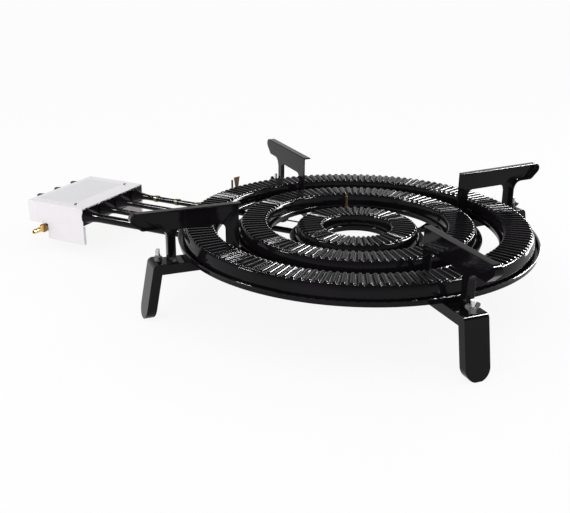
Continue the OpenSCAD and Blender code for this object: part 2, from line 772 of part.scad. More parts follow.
// Gas valve: body on a saddle over the rail, threaded neck, outlet to the injector and magnet unit
module valve(y) {
    clamp_w = 16;
    color(brass) placed() difference() {
        union() {
            translate([-valve_front, y, knob_z]) rotate([0, 90, 0])
                cylinder(h = valve_front - valve_rear, r = valve_body_r);
            translate([-neck_front, y, knob_z]) rotate([0, 90, 0])
                cylinder(h = neck_front - valve_front + 1, r = neck_r);
            translate([-rail_x, y, rail_z]) cylinder(h = knob_z - rail_z, r = 6.5);
            translate([-rail_x, y - clamp_w / 2, rail_z]) rotate([-90, 0, 0])
                cylinder(h = clamp_w, r = rail_r + 3);
            translate([-valve_rear - 2, y, tube_z]) rotate([0, 90, 0]) cylinder(h = outlet_l + 2, r = 5);
            translate([-valve_rear - 1, y, magnet_z]) rotate([0, 90, 0])
                cylinder(h = valve_rear + 1 - magnet_end, r = 5);
        }
        translate([-rail_x, y - clamp_w, rail_z]) rotate([-90, 0, 0])
            cylinder(h = 2 * clamp_w, r = rail_r + 0.05);
        translate([-neck_front - 1, y, knob_z]) rotate([0, 90, 0])
            cylinder(h = neck_front + 1 - spindle_rear + push_travel + 1, r = spindle_r + spindle_gap);
    }
}

module valve_middle() {
    valve(valve_ys[0]);
}

module valve_inner() {
    valve(valve_ys[1]);
}

module valve_outer() {
    valve(valve_ys[2]);
}

// Nuts that hold the valve necks in the frame
module valve_nuts() {
    color(zinc) placed() for (y = valve_ys)
        translate([-frame_front - valve_nut_t, y, knob_z]) rotate([0, 90, 0]) difference() {
            cylinder(h = valve_nut_t, r = panel_hole_r - 0.7, $fn = 6);
            translate([0, 0, -1]) cylinder(h = valve_nut_t + 2, r = neck_r + 0.05);
        }
}

// Push collar: the washer on a spindle that the return spring bears on
module collar(y) {
    color(zinc) placed() translate([-collar_rear - collar_t, y, knob_z]) rotate([0, 90, 0]) difference() {
        cylinder(h = collar_t, r = collar_r);
        translate([0, 0, -1]) cylinder(h = collar_t + 2, r = spindle_r + spindle_gap);
    }
}

module collar_middle() {
    collar(valve_ys[0]);
}

module collar_inner() {
    collar(valve_ys[1]);
}

module collar_outer() {
    collar(valve_ys[2]);
}

// Spindle with a flat for the knob and a clip in front of the collar
module spindle(y) {
    flat = 10;
    color(zinc) placed() translate([0, y, knob_z]) difference() {
        union() {
            translate([-spindle_front, 0, 0]) rotate([0, 90, 0])
                cylinder(h = spindle_front - spindle_rear, r = spindle_r);
            translate([-collar_rear - collar_t - clip_t, 0, 0]) rotate([0, 90, 0])
                cylinder(h = clip_t, r = spindle_r + 1.2);
        }
        translate([-spindle_front - 1, -spindle_r, spindle_r - 1.5]) cube([flat + 1, 2 * spindle_r, 3]);
    }
}

module spindle_middle() {
    spindle(valve_ys[0]);
}

module spindle_inner() {
    spindle(valve_ys[1]);
}

module spindle_outer() {
    spindle(valve_ys[2]);
}

// Knob: skirt, waisted grip bar with round ends and a blind bore for the spindle
module knob(y) {
    skirt = 7;
    grip_w = 10;
    back = box_far + knob_gap;
    color(black) placed() translate([-back, y, knob_z]) rotate([0, -90, 0]) difference() {
        union() {
            rotate_extrude() polygon(concat(
                [[0, 0], [knob_r, 0]], arc(knob_r - 2, skirt - 2, 2, 0, 90, 4), [[0, skirt]]));
            cylinder(h = skirt + 3, r1 = knob_r - 3, r2 = knob_r - 6);
            intersection() {
                translate([-knob_r, -grip_w / 2, 0]) cube([2 * knob_r, grip_w, knob_l]);
                cylinder(h = knob_l, r1 = knob_r - 1, r2 = knob_r - 3);
            }
        }
        translate([0, 0, -1]) cylinder(h = 14.5, r = spindle_r + 0.03);
        // Hollow behind the skirt, over the spindle clip
        translate([0, 0, -1]) cylinder(h = 3, r = spindle_r + 3);
    }
}

module knob_middle() {
    knob(valve_ys[0]);
}

module knob_inner() {
    knob(valve_ys[1]);
}

module knob_outer() {
    knob(valve_ys[2]);
}

// Injectors: a hex holder and a nozzle in front of each mixer mouth
module injectors() {
    hex_l = 8;
    taper = outlet_end - hex_l - injector_tip;
    color(brass) placed() for (y = tube_ys) translate([-outlet_end, y, tube_z]) rotate([0, 90, 0]) {
        cylinder(h = hex_l, r = 6, $fn = 6);
        translate([0, 0, hex_l - 1]) cylinder(h = taper + 1, r1 = nozzle_r + 1, r2 = nozzle_r);
    }
}

// Branch from the outer valve's outlet to the fourth injector, with one bend
module branch_pipe() {
    r = 4;
    bend = r + 2;
    from = valve_ys[2] - 5;
    straight = from - tube_ys[3] - bend;
    color(copper) placed() translate([-outlet_end - bend, tube_ys[3] + bend, tube_z]) {
        rotate([-90, 0, 0]) cylinder(h = straight, r = r);
        translate([bend, 0, 0]) rotate([0, 0, 180]) rotate_extrude(angle = 90)
            translate([bend, 0]) circle(r);
    }
}

// Inlet nut outside the right panel
module inlet_nut() {
    color(brass) placed() translate([-rail_x, box_right - 8, rail_z]) rotate([-90, 0, 0]) {
        cylinder(h = 8, r = inlet_af / 2 / cos(30), $fn = 6);
        cylinder(h = 16, r = rail_r - 2.1);
    }
}

// Hose nozzle: collar, smooth shank for the hose clip and three ribs with the shank's crest
module hose_barb() {
    crest = 4.6;
    root = 3.8;
    shank = 10;
    step = (barb_l - shank) / 3.5;
    color(brass) placed() translate([-rail_x, box_right - 8, rail_z]) rotate([90, 0, 0])
        rotate_extrude() polygon(concat(
            [[2.3, 0], [5.6, 0], [5.6, 2], [crest, 2], [crest, shank]],
            [for (k = [1:3]) for (r = [root, crest]) [r, shank + (k - 0.5) * step]],
            [[root - 0.2, barb_l], [2.3, barb_l]]
        ));
}

// Sensor of the outer ring: copper guard tab and probe on an angle strap under the pan
module outer_sensor() {
    wall = outer_ro + pan_out;
    reach = outer_sensor_at - wall + 4;
    color(copper) placed() rotate([0, 0, outer_sensor_a]) {
        translate([outer_sensor_at, 0, 0]) rotate([90, 0, 90]) linear_extrude(1.2) polygon([
            [-4, floor_z - 2], [4, floor_z - 2], [4, rib_top_z - 6], [7, rib_top_z + 10],
            [-7, rib_top_z + 10], [-4, rib_top_z - 6]
        ]);
        translate([wall - 14, -4, floor_z - 2]) cube([reach + 10.5, 8, 2]);
        translate([outer_sensor_at + 3.5, 9, floor_z + 2]) cylinder(h = rib_top_z - floor_z + 3, r = 1.8);
        translate([outer_sensor_at, -2, floor_z + 4]) cube([6, 12, 2]);
    }
}

// Sensor in the gap between the middle and the inner ring, on a strap from the middle pan
module inner_sensor() {
    wall = middle_ri - pan_in;
    color(copper) placed() rotate([0, 0, inner_sensor_a]) {
        translate([inner_sensor_at - 6, -5, floor_z - 2]) cube([wall + 14 - inner_sensor_at + 6, 10, 2]);
        translate([inner_sensor_at, 0, floor_z - 1]) cylinder(h = rib_top_z - floor_z + 1, r = 1.9);
        translate([inner_sensor_at, 0, floor_z - 1]) cylinder(h = 12, r = 3);
    }
}

// A lead along the points, with its corners rounded, as one tube of eight sides
function unit(v) = v / norm(v);
function rounded_path(p, r = 6) = concat(
    [p[0]],
    [for (i = [1:len(p) - 2])
        let (r1 = min(r, norm(p[i] - p[i - 1]) / 2.2), r2 = min(r, norm(p[i + 1] - p[i]) / 2.2),
            a = p[i] + unit(p[i - 1] - p[i]) * r1, c = p[i] + unit(p[i + 1] - p[i]) * r2)
        for (t = [0, 0.33, 0.67, 1]) a * (1 - t) * (1 - t) + p[i] * 2 * t * (1 - t) + c * t * t],
    [p[len(p) - 1]]
);
function along(p, i) = unit(p[min(i + 1, len(p) - 1)] - p[max(i - 1, 0)]);
function across(t, u) = unit(u - t * (u * t));
function lead_side(p, i) =
    i == 0 ? across(along(p, 0), [0.6, 0.8, 0]) : across(along(p, i), lead_side(p, i - 1));

module lead(points) {
    p = rounded_path(points);
    n = len(p);
    sides = 8;
    ring = [for (i = [0:n - 1]) let (t = along(p, i), u = lead_side(p, i), v = cross(t, u))
        for (k = [0:sides - 1]) p[i] + lead_r * (cos(360 * k / sides) * u + sin(360 * k / sides) * v)];
    faces = [for (i = [0:n - 2]) for (k = [0:sides - 1])
        let (a = i * sides + k, b = i * sides + (k + 1) % sides)
        for (f = [[a, a + sides, b + sides], [a, b + sides, b]]) f];
    first = [for (k = [1:sides - 2]) [0, k, k + 1]];
    last = [for (k = [1:sides - 2]) (n - 1) * sides * [1, 1, 1] + [0, k + 1, k]];
    color(copper) placed() polyhedron(points = ring, faces = concat(faces, first, last));
}

// Leads run beside the middle ring's tube, swerve round its bell and pass into the box
lead_y = tube_ys[0] + tube_r + lead_r + 0.2;
lead_hole_y = tube_ys[0] + bell_r + 1.5 + lead_r + 0.7;
low_lead_z = tube_z - 2;
high_lead_z = tube_z + 1.5;
swerve_x = -box_near + bell_l + 1;
outer_probe = [
    (outer_sensor_at + 3.5) * cos(outer_sensor_a) - 9 * sin(outer_sensor_a),
    (outer_sensor_at + 3.5) * sin(outer_sensor_a) + 9 * cos(outer_sensor_a)
];
inner_probe = [inner_sensor_at * cos(inner_sensor_a), inner_sensor_at * sin(inner_sensor_a)];

// From the tube to the frame's hole, and inside the box to the magnet unit of the valve at y
function lead_end(z, x, y, yc, zc) = [
    [swerve_x, lead_y, z],
    [-box_near + 3, lead_hole_y, z],
    [-box_near - 7, lead_hole_y, z],
    [x, yc, zc],
    [x, y, zc],
    [-magnet_end + 8, y, magnet_z],
    [-magnet_end, y, magnet_z]
];

module outer_sensor_lead() {
    slant = 40;
    lead(concat([
        [outer_probe[0], outer_probe[1], floor_z + 2],
        [outer_probe[0], outer_probe[1], high_lead_z],
        [outer_probe[0] - slant, lead_y, high_lead_z]
    ], lead_end(high_lead_z, 15 - magnet_end, valve_ys[2], lead_hole_y, magnet_z - 4.5)));
}

module inner_sensor_lead() {
    slant = 60;
    lead(concat([
        [inner_probe[0], inner_probe[1], floor_z - 2],
        [inner_probe[0], inner_probe[1], low_lead_z],
        [inner_probe[0] - slant, lead_y, low_lead_z]
    ], lead_end(low_lead_z, 22 - magnet_end, valve_ys[1], lead_hole_y - 4, magnet_z - 2)));
}

// Sheet clips that hold the leads to the tube
module lead_clips() {
    y = tube_ys[0];
    wide = tube_r + 2 * lead_r + 1.3;
    first = box_near - bell_l - 20;
    pitch = 48;
    color(zinc) placed() for (k = [0:2]) translate([pitch * k - first, y, tube_z]) difference() {
        union() {
            rotate([0, 90, 0]) cylinder(h = 6, r = tube_r + 1, center = true);
            translate([-3, 0, -4.6]) cube([6, wide, 8.7]);
        }
        rotate([0, 90, 0]) cylinder(h = 8, r = tube_r + 0.05, center = true);
        translate([-4, 0, -3.8]) cube([8, wide - 1, 7.1]);
    }
}

outer_cover();
middle_cover();
inner_cover();
outer_pan();
middle_pan();
inner_pan();
arm(0);  // arm_rear_left
arm(1);  // arm_front_left
arm(2);  // arm_front_right
arm(3);  // arm_rear_right
support(0);  // support_rear_left
support(1);  // support_front_left
support(2);  // support_front_right
support(3);  // support_rear_right
leg(0);  // leg_rear_left
leg(1);  // leg_front_left
leg(2);  // leg_front_right
leg(3);  // leg_rear_right
wing_nut(0);  // wing_nut_rear_left
wing_nut(1);  // wing_nut_front_left
wing_nut(2);  // wing_nut_front_right
wing_nut(3);  // wing_nut_rear_right
leg_bolts();
support_bolts();
ring_nuts();
inner_ring_straps();
middle_mixer();
inner_mixer();
outer_mixer();
outer_mixer_thick();
control_frame();
box_cover();
cover_screws();
gas_rail();
rail_plug();
valve_middle();
valve_inner();
valve_outer();
valve_nuts();
collar_middle();
collar_inner();
collar_outer();
spindle_middle();
spindle_inner();
spindle_outer();
knob_middle();
knob_inner();
knob_outer();
injectors();
branch_pipe();
inlet_nut();
hose_barb();
outer_sensor();
inner_sensor();
outer_sensor_lead();
inner_sensor_lead();
lead_clips();
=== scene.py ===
import math

import bmesh
import bpy
from mathutils import Matrix, Vector


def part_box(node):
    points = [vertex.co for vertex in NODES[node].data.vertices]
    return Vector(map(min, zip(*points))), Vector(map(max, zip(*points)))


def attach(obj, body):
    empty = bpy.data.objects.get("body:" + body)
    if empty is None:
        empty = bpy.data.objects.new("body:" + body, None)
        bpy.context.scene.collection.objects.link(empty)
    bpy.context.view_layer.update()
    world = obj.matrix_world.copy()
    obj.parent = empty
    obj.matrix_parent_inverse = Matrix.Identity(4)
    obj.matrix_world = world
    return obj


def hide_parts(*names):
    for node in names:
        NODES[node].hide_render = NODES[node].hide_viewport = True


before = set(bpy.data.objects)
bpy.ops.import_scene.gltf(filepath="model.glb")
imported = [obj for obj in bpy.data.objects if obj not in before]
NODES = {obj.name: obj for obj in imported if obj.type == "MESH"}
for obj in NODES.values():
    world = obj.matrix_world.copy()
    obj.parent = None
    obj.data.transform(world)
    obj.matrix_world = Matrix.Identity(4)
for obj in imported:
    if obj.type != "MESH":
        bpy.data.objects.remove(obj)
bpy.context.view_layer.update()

# All lengths are in metres: MM turns a size in millimetres into them. All angles are in degrees
MM = 0.001
CORNERS = ["front_left", "front_right", "rear_left", "rear_right"]
VALVES = ["middle", "inner", "outer"]

# Point on the ground under the middle of the rings, which the frame gives
pan_low, pan_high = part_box("outer_pan")
AXIS = Vector(((pan_low.x + pan_high.x) / 2, (pan_low.y + pan_high.y) / 2, 0))

# Pressed ring covers: inner radius and count of ribs
RINGS = {
    "outer_cover": (241 * MM, 144),
    "middle_cover": (151.5 * MM, 96),
    "inner_cover": (58 * MM, 48),
}
# How far the skirts stand outside the ring and inside it, and how high they are
SKIRT_OUT = 4 * MM
SKIRT_IN = 2.5 * MM
SKIRT_H = 17.5 * MM
COVER_SHEET = 1.5 * MM
# Edges between the top and the skirts: how far each lies nearer the axis than the ring's radius,
# half the width of its rounding, and how far the rounding drops at its start and at its end
EDGE_IN = 0.5 * MM
EDGE_OUT = 1.0 * MM
EDGE_HALF = 0.3 * MM
EDGE_START = 0.25 * MM
EDGE_END = 1.2 * MM
# Underside of the top: how far its flat part ends from the ring's radii
ROOF_BACK = 6 * MM
# Ribs: height, distance of their rounded noses from the edges, and points along a nose
RIB_H = 3.2 * MM
NOSE_BACK = 1.2 * MM
NOSE_STEPS = 4
# Points of the section before the ribs begin
SKIRT_POINTS = 4
# Turn of each column of points within one rib, and how high it stands over the groove
RIB_COLUMNS = [
    (0.00, 0.45), (0.045, 0.76), (0.11, 0.92), (0.19, 0.98), (0.28, 1.00), (0.37, 0.98), (0.45, 0.92),
    (0.515, 0.76), (0.56, 0.45), (0.60, 0.13), (0.67, 0.00), (0.89, 0.00), (0.96, 0.13),
]
GROOVE_COLUMN = 10
# Columns whose faces lie in the groove, which take a darker, dull enamel: the darker colour is painted
# shade in the grooves
SHADED_COLUMNS = (9, 10, 11)
# Ports along one groove: count, length, and the rim, taper and depth of each recess
PORTS = 8
PORT_LENGTH = 1.9 * MM
PORT_RIM = 0.12 * MM
PORT_TAPER = 0.18 * MM
PORT_DEPTH = 0.9 * MM

# Bent sheets: a face deeper than this is a wall, not the sheet's cut edge
BEND_DEPTH = 4 * MM
# Least angle of an edge that is rounded as a bend, and the steps and radii of the bends
BEND_ANGLE = 50
BEND_STEPS = 4
SUPPORT_BEND = 2.5 * MM
# Edges of a support that are shorter than this are no bends of its sheet
SUPPORT_LEAST = 30 * MM
ARM_BEND = 2.0 * MM
LEG_BEND = 2.5 * MM
BOX_BEND = 1.4 * MM
FRAME_BEND = 1.2 * MM
# Wing nuts and knobs: least angle of an edge that is rounded, and the steps and radii of the edges
EDGE_ANGLE = 28
EDGE_STEPS = 3
NUT_EDGE = 0.7 * MM
KNOB_EDGE = 0.8 * MM

# Points nearer to each other are merged: in a finished piece, a CAD node's copy, a ring's sectors
MERGE = 1e-6
CAD_MERGE = 2e-6
SECTOR_MERGE = 5e-6
# Faces that turn less than this from each other are one flat face of the CAD node
FLAT_ANGLE = 0.6
# Least angle of an edge that is shaded sharp
COVER_SMOOTH = 50
SHEET_SMOOTH = 40
LABEL_SMOOTH = 35

# Blank label: how much less deep and less wide it is than the box, and its shift towards the knobs
LABEL_LESS_DEEP = 46 * MM
LABEL_LESS_WIDE = 40 * MM
LABEL_SHIFT = 12 * MM
LABEL_SHEET = 0.12 * MM
# Share of the film's thickness by which its middle lies under the box's top
LABEL_SUNK = 0.2
LABEL_CORNER = 4 * MM
LABEL_STEPS = 4

# Photograph's camera, from the ring axis on the ground
CAMERA_PLACE = Vector((0.5204, -1.3204, 0.5867))
CAMERA_YAW = 116.39
CAMERA_PITCH = -20.74
CAMERA_ROLL = 0.50
CAMERA_REACH = 100
PHOTO_SIZE = (570, 513)
FOCAL_PIXELS = 886.9
SENSOR_WIDTH = 36.0

# Floor: its half width, paper grey and dull finish
FLOOR_SIZE = 30.0
FLOOR_GREY = 0.9
FLOOR_ROUGH = 0.9
FLOOR_SPECULAR = 0.1
# Share of the floor's own white where it is seen or mirrored; the rest carries the shadow
FLOOR_WHITE = 0.88
# World's strength as a soft light
WORLD_LIGHT = 0.9
# Where the world is seen or mirrored: heights of the sky between which the white backdrop turns into
# the dim ceiling, and how dim that is
BACKDROP_TOP = 0.12
CEILING_EDGE = 0.62
CEILING = 0.06

# The fill lamp lights from in front and isn't mirrored; the others only show as gloss in the enamel
FILL_LAMP = "front_lamp"
# Lamps: turn about the ring axis, distance from it, height, size and power
LAMPS = [
    ("rear_box", 69, 1.4, 1.15, (0.55, 0.4), 130),
    ("rim_lamp", 62, 1.6, 0.16, (0.6, 0.3), 24),
    ("left_lamp", 215, 1.5, 1.2, (0.3, 0.2), 34),
    ("top_lamp", 25, 1.0, 1.35, (0.25, 0.25), 44),
    (FILL_LAMP, 250, 2.2, 0.8, (0.6, 0.5), 9),
]
# Height over the ring axis that the lamps point at
LAMP_AIM = 0.1

# Noise of the surfaces: its detail, and the part of its range that spreads over colour and gloss
DRIFT_DETAIL = 4.0
RIPPLE_DETAIL = 2.0
COLOUR_RANGE = (0.35, 0.65)
GLOSS_RANGE = (0.3, 0.7)


# Material tools

def feed(tree, value, socket):
    """Sets a socket to a number, or links another node's socket to it."""
    if isinstance(value, (int, float)):
        socket.default_value = value
    else:
        tree.links.new(value, socket)


def noise(tree, place, scale, detail):
    node = tree.nodes.new("ShaderNodeTexNoise")
    node.inputs["Detail"].default_value = detail
    tree.links.new(place, node.inputs["Vector"])
    tree.links.new(scale, node.inputs["Scale"])
    return node.outputs["Fac"]


def math_node(tree, operation, a, b):
    node = tree.nodes.new("ShaderNodeMath")
    node.operation = operation
    feed(tree, a, node.inputs[0])
    feed(tree, b, node.inputs[1])
    return node.outputs["Value"]


def map_range(tree, value, low, high, to_low, to_high, curve="LINEAR"):
    node = tree.nodes.new("ShaderNodeMapRange")
    node.interpolation_type = curve
    tree.links.new(value, node.inputs["Value"])
    for name, number in (("From Min", low), ("From Max", high), ("To Min", to_low), ("To Max", to_high)):
        feed(tree, number, node.inputs[name])
    return node.outputs["Result"]


def mix_colour(tree, share, a, b):
    node = tree.nodes.new("ShaderNodeMix")
    node.data_type = "RGBA"
    tree.links.new(share, node.inputs["Factor"])
    tree.links.new(a, node.inputs["A"])
    tree.links.new(b, node.inputs["B"])
    return node.outputs["Result"]


def surface_group():
    """Colour drift, uneven gloss and the fine ripple of a sprayed, dipped or cast surface."""
    group = bpy.data.node_groups.new("uneven_surface", "ShaderNodeTree")
    for name in ("Colour", "Second Colour"):
        group.interface.new_socket(name=name, in_out="INPUT", socket_type="NodeSocketColor")
    for name in ("Drift Scale", "Ripple Scale", "Low Roughness", "High Roughness"):
        group.interface.new_socket(name=name, in_out="INPUT", socket_type="NodeSocketFloat")
    group.interface.new_socket(name="Colour", in_out="OUTPUT", socket_type="NodeSocketColor")
    for name in ("Roughness", "Height"):
        group.interface.new_socket(name=name, in_out="OUTPUT", socket_type="NodeSocketFloat")
    given = group.nodes.new("NodeGroupInput").outputs
    result = group.nodes.new("NodeGroupOutput").inputs
    place = group.nodes.new("ShaderNodeTexCoord").outputs["Object"]
    drift = noise(group, place, given["Drift Scale"], DRIFT_DETAIL)
    ripple = noise(group, place, given["Ripple Scale"], RIPPLE_DETAIL)
    share = map_range(group, drift, *COLOUR_RANGE, 0.0, 1.0)
    rough = map_range(group, drift, *GLOSS_RANGE, given["Low Roughness"], given["High Roughness"])
    group.links.new(mix_colour(group, share, given["Colour"], given["Second Colour"]), result["Colour"])
    group.links.new(rough, result["Roughness"])
    group.links.new(ripple, result["Height"])
    return group


SURFACE = surface_group()


def finish_material(name, colour, second, rough, drift, ripple, bump, metallic=0.0, specular=0.5):
    """A material whose colour, gloss and relief vary over the surface."""
    material = bpy.data.materials.new(name)
    material.use_nodes = True
    tree = material.node_tree
    shader = tree.nodes["Principled BSDF"]
    shader.inputs["Metallic"].default_value = metallic
    shader.inputs["Specular IOR Level"].default_value = specular
    surface = tree.nodes.new("ShaderNodeGroup")
    surface.node_tree = SURFACE
    surface.inputs["Colour"].default_value = (*colour, 1.0)
    surface.inputs["Second Colour"].default_value = (*second, 1.0)
    surface.inputs["Low Roughness"].default_value = rough[0]
    surface.inputs["High Roughness"].default_value = rough[1]
    surface.inputs["Drift Scale"].default_value = drift
    surface.inputs["Ripple Scale"].default_value = ripple
    relief = tree.nodes.new("ShaderNodeBump")
    relief.inputs["Strength"].default_value = 1.0
    relief.inputs["Distance"].default_value = bump
    tree.links.new(surface.outputs["Height"], relief.inputs["Height"])
    tree.links.new(surface.outputs["Colour"], shader.inputs["Base Color"])
    tree.links.new(surface.outputs["Roughness"], shader.inputs["Roughness"])
    tree.links.new(relief.outputs["Normal"], shader.inputs["Normal"])
    return material


ENAMEL = finish_material(
    "black_enamel", (0.0035, 0.0032, 0.004), (0.007, 0.0055, 0.007),
    rough=(0.05, 0.10), drift=9.0, ripple=260.0, bump=0.06 * MM, specular=0.12)
# Darker, dull enamel of the ribs' grooves: its darker colour is painted shade
GROOVE_SHADE = finish_material(
    "groove_painted_shade", (0.002, 0.002, 0.002), (0.004, 0.003, 0.003),
    rough=(0.6, 0.8), drift=40.0, ripple=900.0, bump=0.1 * MM, specular=0.1)
WHITE = finish_material(
    "white_enamel", (0.83, 0.80, 0.84), (0.86, 0.84, 0.86),
    rough=(0.22, 0.34), drift=7.0, ripple=300.0, bump=0.08 * MM, specular=0.15)
FILM = finish_material(
    "label_film", (0.76, 0.75, 0.78), (0.79, 0.78, 0.80),
    rough=(0.30, 0.42), drift=25.0, ripple=600.0, bump=0.03 * MM, specular=0.15)
ZINC = finish_material(
    "zinc_plate", (0.55, 0.56, 0.58), (0.66, 0.66, 0.66),
    rough=(0.24, 0.40), drift=60.0, ripple=900.0, bump=0.08 * MM, metallic=1.0)
# Zinc of the wing nuts, darkened: painted shade standing for the dark surroundings that it mirrors
SHADED_ZINC = finish_material(
    "zinc_painted_shade", (0.10, 0.10, 0.105), (0.17, 0.165, 0.16),
    rough=(0.26, 0.42), drift=60.0, ripple=900.0, bump=0.08 * MM, metallic=1.0)
OLIVE = finish_material(
    "olive_passivation", (0.14, 0.12, 0.07), (0.08, 0.07, 0.05),
    rough=(0.30, 0.46), drift=60.0, ripple=1100.0, bump=0.06 * MM, metallic=0.9)
DARK_STEEL = finish_material(
    "blackened_steel", (0.05, 0.05, 0.052), (0.09, 0.085, 0.085),
    rough=(0.3, 0.45), drift=80.0, ripple=1500.0, bump=0.06 * MM, metallic=0.9)
BRASS = finish_material(
    "bare_brass", (0.76, 0.48, 0.14), (0.84, 0.58, 0.22),
    rough=(0.16, 0.32), drift=90.0, ripple=1200.0, bump=0.06 * MM, metallic=1.0)
# Brass darkened, for the inlet nut
DARK_BRASS = finish_material(
    "dark_brass", (0.34, 0.21, 0.07), (0.20, 0.12, 0.05),
    rough=(0.22, 0.40), drift=110.0, ripple=1200.0, bump=0.08 * MM, metallic=1.0)
COPPER = finish_material(
    "heated_copper", (0.16, 0.095, 0.055), (0.07, 0.055, 0.04),
    rough=(0.34, 0.55), drift=70.0, ripple=900.0, bump=0.08 * MM, metallic=0.8)
PLASTIC = finish_material(
    "moulded_plastic", (0.016, 0.016, 0.017), (0.022, 0.021, 0.022),
    rough=(0.38, 0.5), drift=30.0, ripple=2600.0, bump=0.06 * MM)

# CAD nodes that are shown as they are, by their finish
BARE_NODES = [
    (ENAMEL, "outer_pan", "middle_pan", "inner_pan", "inner_ring_straps"),
    (ENAMEL, "middle_mixer", "inner_mixer", "outer_mixer", "outer_mixer_thick"),
    (DARK_STEEL, "support_bolts", "cover_screws"),
    (ZINC, "leg_bolts", "gas_rail", "valve_nuts"),
    (ZINC, "collar_middle", "collar_inner", "collar_outer"),
    (ZINC, "spindle_middle", "spindle_inner", "spindle_outer"),
    (OLIVE, "ring_nuts", "lead_clips"),
    (BRASS, "valve_middle", "valve_inner", "valve_outer", "rail_plug", "injectors", "hose_barb"),
    (DARK_BRASS, "inlet_nut"),
    (COPPER, "branch_pipe", "outer_sensor", "inner_sensor", "outer_sensor_lead", "inner_sensor_lead"),
]


# Mesh tools

def finish_piece(name, bm, materials, body, slot, *replaced, smooth):
    """Turns a bmesh into a shown piece that rides on a body and stands for CAD nodes."""
    bmesh.ops.remove_doubles(bm, verts=bm.verts, dist=MERGE)
    bmesh.ops.recalc_face_normals(bm, faces=bm.faces)
    mesh = bpy.data.meshes.new(name)
    bm.to_mesh(mesh)
    bm.free()
    for material in materials:
        mesh.materials.append(material)
    mesh.shade_smooth()
    mesh.set_sharp_from_angle(angle=math.radians(smooth))
    piece = bpy.data.objects.new(name, mesh)
    bpy.context.scene.collection.objects.link(piece)
    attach(piece, body)
    if replaced:
        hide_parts(*replaced)
    return piece


def sharp_edges(bm, angle):
    return [e for e in bm.edges if len(e.link_faces) == 2 and e.calc_face_angle(0) > math.radians(angle)]


def round_edges(bm, edges, radius, segments):
    bmesh.ops.bevel(bm, geom=edges, offset=radius, offset_type="OFFSET", segments=segments, profile=0.5,
                    affect="EDGES", clamp_overlap=True, material=-1)


# Ring covers

def cover_section(inner, outer, top, base):
    """Points of a ring cover's section over a rib: radius, height and how far the groove sinks there."""
    knee = top - SKIRT_H
    floor = top - RIB_H
    edge_in = inner - EDGE_IN
    edge_out = outer - EDGE_OUT
    nose_in = edge_in + NOSE_BACK + RIB_H
    nose_out = edge_out - NOSE_BACK - RIB_H
    pitch = (nose_out - nose_in) / PORTS
    turns = [math.radians(90 * k / NOSE_STEPS) for k in range(NOSE_STEPS + 1)]
    points = [
        (inner - SKIRT_IN, base, 0.0),
        (inner - SKIRT_IN, knee, 0.0),
        (edge_in - EDGE_HALF, floor - EDGE_END, 0.0),
        (edge_in + EDGE_HALF, floor - EDGE_START, 0.0),
    ]
    points += [(nose_in - RIB_H * math.cos(t), floor + RIB_H * math.sin(t), math.sin(t)) for t in turns]
    for k in range(PORTS):
        middle = nose_in + (k + 0.5) * pitch
        points.append((middle - PORT_LENGTH / 2, top, 1.0))
        points.append((middle + PORT_LENGTH / 2, top, 1.0))
    turns.reverse()
    points += [(nose_out + RIB_H * math.cos(t), floor + RIB_H * math.sin(t), math.sin(t)) for t in turns]
    roof = floor - COVER_SHEET
    points += [
        (edge_out - EDGE_HALF, floor - EDGE_START, 0.0),
        (edge_out + EDGE_HALF, floor - EDGE_END, 0.0),
        (outer + SKIRT_OUT, knee, 0.0),
        (outer + SKIRT_OUT, base, 0.0),
        (outer + SKIRT_OUT - COVER_SHEET, base, 0.0),
        (outer + SKIRT_OUT - COVER_SHEET, knee, 0.0),
        (outer - ROOF_BACK, roof, 0.0),
        (inner + ROOF_BACK, roof, 0.0),
        (inner - SKIRT_IN + COVER_SHEET, knee, 0.0),
        (inner - SKIRT_IN + COVER_SHEET, base, 0.0),
    ]
    return points


def nearest_row(section, radius, height):
    """Number of the section's point that lies nearest to a radius and height."""
    spans = [math.hypot(point[0] - radius, point[1] - height) for point in section]
    return spans.index(min(spans))


def rib_sector(section, ribs):
    """One rib and its groove, from the start of the rib to the start of the next one."""
    columns = RIB_COLUMNS + [(1.0, RIB_COLUMNS[0][1])]
    steps = len(columns) - 1
    sector = 2 * math.pi / ribs
    bm = bmesh.new()
    loop = [bm.verts.new((radius, 0, height)) for radius, height, share in section]
    for i, vert in enumerate(loop):
        bm.edges.new((vert, loop[(i + 1) % len(loop)]))
    bmesh.ops.spin(bm, geom=bm.verts[:] + bm.edges[:], cent=(0, 0, 0), axis=(0, 0, 1),
                   angle=sector, steps=steps, use_merge=False, use_duplicate=False)
    # The even columns of the spin are moved to those of the rib, and sunk where the groove is
    place = {}
    for vert in bm.verts:
        column = round(math.atan2(vert.co.y, vert.co.x) / sector * steps)
        row = nearest_row(section, math.hypot(vert.co.x, vert.co.y), vert.co.z)
        place[vert] = (row, column)
        radius, height, share = section[row]
        turn, rise = columns[column]
        height -= RIB_H * share * (1 - rise)
        vert.co = (radius * math.cos(sector * turn), radius * math.sin(sector * turn), height)
    first = SKIRT_POINTS + NOSE_STEPS + 1
    last = first + 2 * PORTS
    ports = []
    for face in bm.faces:
        rows = sorted({place[v][0] for v in face.verts})
        found = sorted({place[v][1] for v in face.verts})
        if found == [GROOVE_COLUMN, GROOVE_COLUMN + 1] and rows[0] in range(first, last, 2):
            ports.append(face)
        # Groove faces take the second material, whose darker colour is painted shade
        if found[0] in SHADED_COLUMNS and first - 1 <= rows[0] <= last:
            face.material_index = 1
    bmesh.ops.recalc_face_normals(bm, faces=bm.faces)
    bmesh.ops.inset_individual(bm, faces=ports, thickness=PORT_RIM, depth=0.0)
    bmesh.ops.inset_individual(bm, faces=ports, thickness=PORT_TAPER, depth=-PORT_DEPTH)
    return bm


